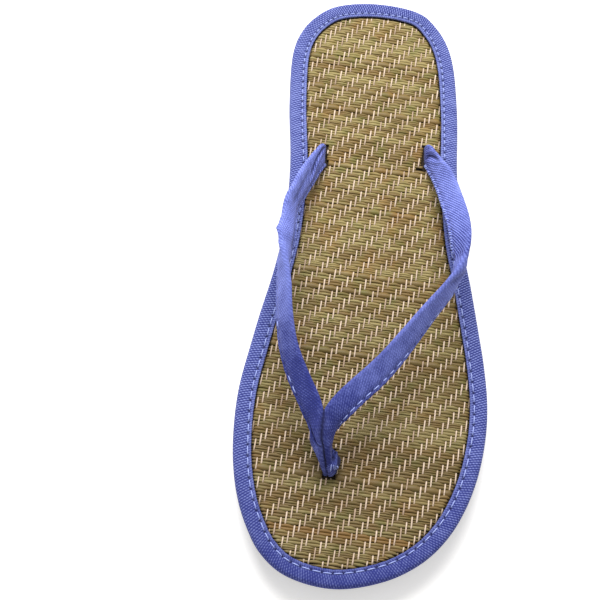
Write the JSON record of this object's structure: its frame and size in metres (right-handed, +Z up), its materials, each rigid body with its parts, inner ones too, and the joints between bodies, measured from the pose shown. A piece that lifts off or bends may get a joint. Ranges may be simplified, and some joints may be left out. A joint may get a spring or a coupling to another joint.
{
  "type": "flat thong sandal",
  "caption": "Left flat thong sandal: foam sole, woven straw footbed with a folded twill edge, and two twill tape straps that meet in a toe post",
  "frame": {"origin": "on the ground under the middle of the sole's length and width", "axes": "+X to the little-toe side, +Y to the heel, +Z up"},
  "size_m": [0.1009, 0.2629, 0.0402],
  "materials": {
    "eva_foam": "matt",
    "woven_straw": "satin woven",
    "binding_twill": "matt twill",
    "strap_twill": "matt twill"
  },
  "bodies": {
    "root": {"outsole": "eva_foam", "footbed": "woven_straw", "edge_binding": "binding_twill", "thong_upper": "strap_twill"}
  },
  "joints": []
}
